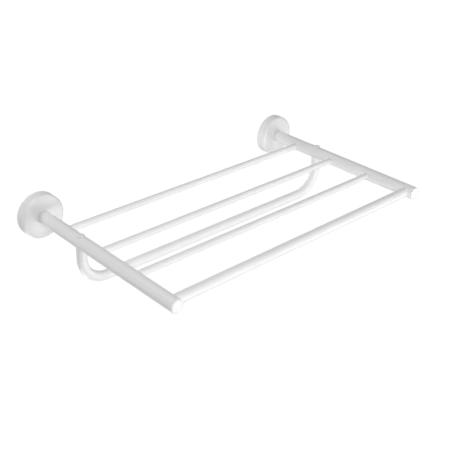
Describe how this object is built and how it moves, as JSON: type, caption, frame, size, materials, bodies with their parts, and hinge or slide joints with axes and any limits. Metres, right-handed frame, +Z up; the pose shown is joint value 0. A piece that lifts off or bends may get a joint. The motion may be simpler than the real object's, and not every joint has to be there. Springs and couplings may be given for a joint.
{
  "type": "wall towel shelf",
  "caption": "Open wall shelf of round tube for towels: rods between two arms on round rosettes, with a U-shaped towel rail hanging below.",
  "frame": {"origin": "on the wall plane, midway between the two rosettes, at the height of the arms' axes", "axes": "+Z up; +Y into the wall, so the shelf stands out towards -Y; +X to the right for somebody facing the wall"},
  "size_m": [0.445, 0.257, 0.0885],
  "materials": {
    "powder_coat": "white powder coat, satin, with a very fine texture",
    "zinc_plated_steel": "bright zinc plate, satin",
    "fastener_steel": "plain stainless steel, machined"
  },
  "bodies": {
    "root": {"left_wall_plate": "zinc_plated_steel", "left_rosette": "powder_coat", "left_rosette_set_screw": "fastener_steel", "left_root_bolt": "fastener_steel", "left_root_washer": "zinc_plated_steel", "left_root_plug": "zinc_plated_steel", "left_arm": "powder_coat", "left_arm_end_cap": "powder_coat", "left_rail_screw": "powder_coat", "left_rail_core": "zinc_plated_steel", "left_front_rod_core": "zinc_plated_steel", "left_front_rod_set_screw": "fastener_steel", "right_wall_plate": "zinc_plated_steel", "right_rosette": "powder_coat", "right_rosette_set_screw": "fastener_steel", "right_root_bolt": "fastener_steel", "right_root_washer": "zinc_plated_steel", "right_root_plug": "zinc_plated_steel", "right_arm": "powder_coat", "right_arm_end_cap": "powder_coat", "right_rail_screw": "powder_coat", "right_rail_core": "zinc_plated_steel", "right_front_rod_core": "zinc_plated_steel", "right_front_rod_set_screw": "fastener_steel", "thin_rod_back": "powder_coat", "thin_rod_middle": "powder_coat", "thin_rod_front": "powder_coat", "front_rod": "powder_coat", "towel_rail": "powder_coat"}
  },
  "joints": []
}
